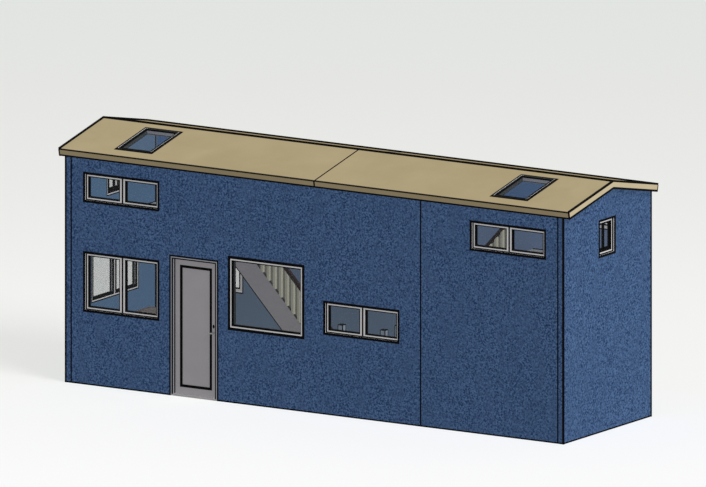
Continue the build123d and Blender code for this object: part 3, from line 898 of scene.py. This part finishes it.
def build_skylight_seals():
    """Flashings and gaskets of the roof windows, and the linings of their shafts; the grey of the
    head lining is the frame's colour darkened as painted shade.
    """
    shape, grey, dark = Shape(), Shape(), Shape()
    slope, face, thick = Slope(), SKYLIGHT_FACE, LINING_THICKNESS
    for u0, u1, v0, v1, near, deep in slope_rects("skylight_frames"):
        top = near + SKYLIGHT_GASKET
        a0, a1, b0, b1 = inner = (u0 + face, u1 - face, v0 + face, v1 - face)
        shape.ring(slope, (u0, u1, v0, v1), [
            (-SKYLIGHT_EDGE, near), (-SKYLIGHT_EDGE, near - FLASHING_PROUD),
            (FLASHING_PROUD, near - FLASHING_PROUD), (FLASHING_WIDTH, -FLASHING_PROUD),
            (FLASHING_WIDTH, 0.0), (0.0, 0.0), (0.0, near)])
        shape.ring(slope, inner, [
            (SKYLIGHT_GASKET, near), (0.0, near), (0.0, top), (-thick, top),
            (-thick, near - thick), (SKYLIGHT_GASKET, near - thick)])
        # Head lining: its grey is painted shade
        grey.sheet(slope.points((a0, b1, top), (a1, b1, top), (a1, b1, deep), (a0, b1, deep)),
                   ROOF_UP * -thick)
        for u, way in ((a0, 1), (a1, -1)):
            dark.sheet(slope.points((u, b0, top), (u, b1, top), (u, b1, deep), (u, b0, deep)),
                       Vector((way * thick, 0, 0)))
        shape.ring(slope, inner, [
            (SKYLIGHT_END_LEG, deep), (-SKYLIGHT_END_LAP, deep),
            (-SKYLIGHT_END_LAP, deep - SKYLIGHT_END_RETURN), (0.0, deep - SKYLIGHT_END_RETURN)])
        for low, high, piece in ((b1, v1, dark), (b0 - SKYLIGHT_FOOT, b0, shape)):
            piece.sheet(slope.points((a0, low, near), (a1, low, near), (a1, high, near),
                                     (a0, high, near)), ROOF_NORMAL * thick)
    for u0, u1, v0, v1, near, _ in slope_rects("skylight_glass"):
        shape.ring(slope, (u0, u1, v0, v1),
                   [(0.0, near), (0.0, near - PANE_LINING), (-SKYLIGHT_LIP, near - PANE_LINING),
                    (-SKYLIGHT_LIP, near)])
    make_piece("roof_window_seals", shape)
    make_piece("roof_window_head_linings", grey, "lining_grey")
    make_piece("roof_window_side_linings", dark, "lining_dark")


# Entrance door
DOOR_LAP = 0.010
DOOR_COVER = 0.016
DOOR_FACE = 0.046
ARRIS_LEG = 0.015
STOP_END = 0.056
STOP_SEAL = 0.020
LEAF_EDGE = 0.012
LEAF_LINE = 0.010
LOCK_PLATE_RADIUS = 0.017
LOCK_CAP_RADIUS = 0.016
LOCK_CAP_HALF_HEIGHT = 0.028
LOCK_CAP_PROUD = 0.003
LOCK_CAP_STEPS = 28
# Shares of the cap's radius and of its height, from its foot to its top
LOCK_CAP_PROFILE = ((1.0, 0.0), (1.0, 0.5), (0.85, 0.9), (0.4, 1.0), (0.1, 1.0))


def build_door_seals():
    """Black seals: frame to wall, round the frame's inner edge, and where the leaf shuts."""
    side = SIDES["front"]
    u0, u1 = side.rect(*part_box("door_jambs"))[:2]
    v0, v1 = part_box("door_sill")[1].z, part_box("door_head")[1].z
    outline, frame_seals, leaf_seals = Shape(), Shape(), Shape()
    outline.arch(side, (u0, u1, 0.0, v1), bead(-DOOR_COVER, DOOR_LAP, OUTLINE_PROUD))
    make_piece("door_outline_seal", outline)
    face, thick = DOOR_FACE, SEAL_PROUD
    opening = (u0 + face, u1 - face, v0, v1 - face)
    frame_seals.arch(side, opening,
                     [(ARRIS_LEG, 0.0), (0.0, 0.0), (0.0, ARRIS_LEG), (-thick, ARRIS_LEG),
                      (-thick, -thick), (ARRIS_LEG, -thick)])
    frame_seals.arch(side, opening,
                     [(0.0, STOP_END - STOP_SEAL), (0.0, STOP_END), (-thick, STOP_END),
                      (-thick, STOP_END - STOP_SEAL)])
    make_piece("door_frame_seals", frame_seals)
    a0, a1, b0, b1, near, _ = side.rect(*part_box("door_leaf"))
    edge = LEAF_EDGE
    line = [(out, deep + near) for out, deep in bead(-LEAF_LINE, 0.0, thick)]
    leaf_seals.arch(side, (a0 + edge, a1 - edge, b0, b1 - edge), line)
    make_piece("door_leaf_seals", leaf_seals, body="door")


def build_lock_cap():
    """The black cover of the key hole over the lever, a low oval dome on the lock plate."""
    low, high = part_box("door_lock_plates")
    x, z = (low.x + high.x) / 2, high.z - LOCK_PLATE_RADIUS
    turns = [2 * math.pi * i / LOCK_CAP_STEPS for i in range(LOCK_CAP_STEPS)]
    shape = Shape()
    shape.loops([[Vector((x + LOCK_CAP_RADIUS * radius * math.cos(turn),
                          low.y - LOCK_CAP_PROUD * proud,
                          z + LOCK_CAP_HALF_HEIGHT * radius * math.sin(turn)))
                  for turn in turns] for radius, proud in LOCK_CAP_PROFILE], False)
    make_piece("door_key_cover", shape, body="door")


# Stairs
SHADE_SHEET_THICKNESS = 0.006
STAIR_LINE = 0.020
NEWEL_LINE = 0.010
# The least run of a stringer's long edges, and how far a corner may stray over one
EDGE_RUN = 0.5
EDGE_PLAY = 0.002
# How far past a handrail's end a baluster may stand and still be one of its own
RAIL_REACH = 0.1


def sloping_edge(points, way):
    """The longest edge under some points (way 1) or over them (way -1), seen from the front."""
    best = None
    for a in points:
        for b in points:
            run = b.x - a.x
            if run > EDGE_RUN and all(
                    ((b.z - a.z) * (p.x - a.x) / run + a.z - p.z) * way < EDGE_PLAY
                    for p in points):
                if best is None or run > best[1].x - best[0].x:
                    best = (a, b)
    return best


def build_stair_lines():
    """Dark lines under the faces of the stringers and along the edges of the newels, and a
    dark capping strip along the top of each stringer."""
    shape, caps, thick = Shape(), Shape(), TRIM_THICKNESS
    points = [v.co for v in nodes["stair_stringers"].data.vertices]
    for low, high in islands("stair_stringers"):
        own = [p for p in points if low.x - SAME_PLACE <= p.x <= high.x + SAME_PLACE
               and low.y - SAME_PLACE <= p.y <= high.y + SAME_PLACE]
        front, back = ([p for p in own if abs(p.y - y) < SAME_PLACE] for y in (low.y, high.y))
        for face, way in ((front, -1), (back, 1)):
            edge = sloping_edge(face, 1)
            if edge:
                shape.bar(*edge, box_section(UP, 0.0, STAIR_LINE, Vector((0, way, 0)), 0.0,
                                             thick))
        edge = sloping_edge(front, -1)
        if edge:
            caps.bar(*edge, box_section(Vector((0, 1, 0)), 0.0, high.y - low.y, UP, 0.0, thick))
    for low, high in islands("stair_newels"):
        for sx, sy in CORNERS:
            foot = Vector((high.x if sx > 0 else low.x, high.y if sy > 0 else low.y, low.z))
            upright_angle(shape, foot, high.z, sx, sy, NEWEL_LINE, thick)
        middle, rows = (low + high) / 2, []
        for grow, z in ((thick, high.z - NEWEL_LINE), (thick, high.z + thick),
                        (-NEWEL_LINE, high.z + thick), (-NEWEL_LINE, high.z)):
            half_x, half_y = middle.x - low.x + grow, middle.y - low.y + grow
            rows.append(level_rect(middle.x - half_x, middle.x + half_x, middle.y - half_y,
                                   middle.y + half_y, z))
        shape.loops(rows, False)
    make_piece("stair_edge_lines", shape)
    make_piece("stringer_cappings", caps, "lining_dark")


def build_baluster_shade_sheets():
    """A thin grey sheet behind each row of balusters: painted shade seen in the gaps between
    them.
    """
    shape = Shape()
    posts = islands("stair_balusters")
    for low, high in islands("stair_handrails"):
        own = [p for p in posts
               if low.x - RAIL_REACH < (p[0].x + p[1].x) / 2 < high.x + RAIL_REACH]
        back = max(p[1].y for p in own)
        own.sort(key=lambda p: p[0].x)
        first, last = own[0], own[-1]
        x0, x1 = first[0].x, last[1].x
        outline = [Vector((x, back, z)) for x, z in ((x0, first[1].z), (x0, first[0].z),
                                                     (x1, last[0].z), (x1, last[1].z))]
        shape.sheet(outline, Vector((0, SHADE_SHEET_THICKNESS, 0)))
    make_piece("baluster_shade_sheets", shape, "infill_grey", smooth=False)


# Table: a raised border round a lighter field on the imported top
FIELD_MARGIN = 0.07
FIELD_RISE = 0.0015


def build_table_field():
    """The lighter field on the table's top."""
    low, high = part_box("table_top")
    shape, rows = Shape(), []
    for out, rise in ((0.0, -FIELD_RISE), (0.0, FIELD_RISE / 2), (-FIELD_RISE, FIELD_RISE)):
        inset = FIELD_MARGIN - out
        rows.append(level_rect(low.x + inset, high.x - inset, low.y + inset, high.y - inset,
                               high.z + rise))
    shape.loops(rows, False)
    make_piece("table_inlay", shape, "table_field", smooth=False)


# Camera: a parallel view, aimed at the target. VIEW_WIDTH is what the picture takes in
VIEW_AZIMUTH = math.radians(32.09)
VIEW_ELEVATION = math.radians(11.53)
VIEW_WIDTH = 10.262
VIEW_TARGET = Vector((-0.092, 0.0, 2.3013))
VIEW_DISTANCE = 30.0
NEAR_CLIP = 0.1
FAR_CLIP = 200.0


def build_camera():
    data = bpy.data.cameras.new("camera")
    data.type = "ORTHO"
    data.ortho_scale = VIEW_WIDTH
    data.clip_start = NEAR_CLIP
    data.clip_end = FAR_CLIP
    camera = add_object("camera", data)
    back = Vector((math.sin(VIEW_AZIMUTH) * math.cos(VIEW_ELEVATION),
                   -math.cos(VIEW_AZIMUTH) * math.cos(VIEW_ELEVATION),
                   math.sin(VIEW_ELEVATION)))
    camera.location = VIEW_TARGET + back * VIEW_DISTANCE
    camera.rotation_mode = "QUATERNION"
    camera.rotation_quaternion = (-back).to_track_quat("-Z", "Y")
    bpy.context.scene.camera = camera


# Floor: a little under the house, and as the background paler in front than far behind it
FLOOR_SIZE = 120.0
FLOOR_DROP = 0.001
FADE_START = -6.0
FADE_END = 29.0
FLOOR_NEAR = srgb(254, 254, 254)
FLOOR_FAR = srgb(228, 231, 228)
FLOOR_BETWEEN = ((0.13, (251, 251, 251)), (0.22, (249, 250, 247)), (0.4, (245, 245, 243)),
                 (0.62, (237, 238, 235)), (0.82, (232, 233, 230)))
# What the floor is for the light that falls back from it on to the house
FLOOR_GREY = srgb(124, 124, 124)


def build_floor():
    half = FLOOR_SIZE / 2
    mesh = bpy.data.meshes.new("studio_floor")
    mesh.from_pydata(level_rect(-half, half, -half, half, -FLOOR_DROP), [], [(0, 1, 2, 3)])
    floor = add_object("studio_floor", mesh)
    s = Shader("studio_floor", gloss=0.0)
    away = (-math.sin(VIEW_AZIMUTH), math.cos(VIEW_AZIMUTH), 0.0)
    turn = s.add("ShaderNodeVectorMath", {0: s.place, 1: away}, operation="DOT_PRODUCT")
    fade = s.spread(turn.outputs["Value"], FADE_START, FADE_END)
    ramp = s.add("ShaderNodeValToRGB", {"Fac": fade})
    stops = ramp.color_ramp.elements
    stops[0].color, stops[1].color = FLOOR_NEAR, FLOOR_FAR
    for place, tone in FLOOR_BETWEEN:
        stops.new(place).color = srgb(*tone)
    s.feed(s.principled, {"Base Color": s.mix(s.seen(), FLOOR_GREY, ramp.outputs["Color"]),
                          "Roughness": 1.0})
    mesh.materials.append(s.material)


# Lamps: a sun of this energy shows a white face that is turned to it as plain white
FULL_WHITE = math.pi
# Name, way to the lamp, share of plain white, how wide it looks in degrees, casts shadows
LAMPS = (("key", (0.75, -0.2, 0.63), 0.22, 30.0, True),
         ("fill", (0.668, -0.438, 0.601), 1.0, 10.0, False),
         ("back_fill", (-0.6, 0.6, 0.5), 0.2, 10.0, False))
AMBIENT_SHARE = 0.13
WHITE = (1.0, 1.0, 1.0, 1.0)
BACKDROP = srgb(226, 228, 226)


def build_lights():
    for name, direction, share, width, shadows in LAMPS:
        data = bpy.data.lights.new(name, "SUN")
        data.energy = share * FULL_WHITE
        data.angle = math.radians(width)
        data.use_shadow = shadows
        lamp = add_object(name, data)
        lamp.rotation_mode = "QUATERNION"
        lamp.rotation_quaternion = Vector(direction).to_track_quat("Z", "Y")
    world = bpy.data.worlds.new("studio")
    bpy.context.scene.world = world
    world.use_nodes = True
    w = Nodes(world.node_tree)
    ambient = w.tree.nodes["Background"]
    w.feed(ambient, {"Color": WHITE, "Strength": AMBIENT_SHARE})
    backdrop = w.add("ShaderNodeBackground", {"Color": BACKDROP, "Strength": 1.0})
    w.end(w.seen(), ambient.outputs["Background"], backdrop.outputs["Background"],
          "World Output")


dress_nodes()
build_outline_seals()
build_pane_seals()
build_mullion_seals()
build_wall_seals()
build_base_seals()
build_inner_corner_seals()
build_loft_seals()
build_barge_cappings()
build_eaves_trims()
build_gable_trims()
build_roof_joints()
build_skylight_seals()
build_door_seals()
build_lock_cap()
build_baluster_shade_sheets()
build_stair_lines()
build_table_field()
build_floor()
build_camera()
build_lights()
bpy.context.scene.view_settings.view_transform = "Standard"
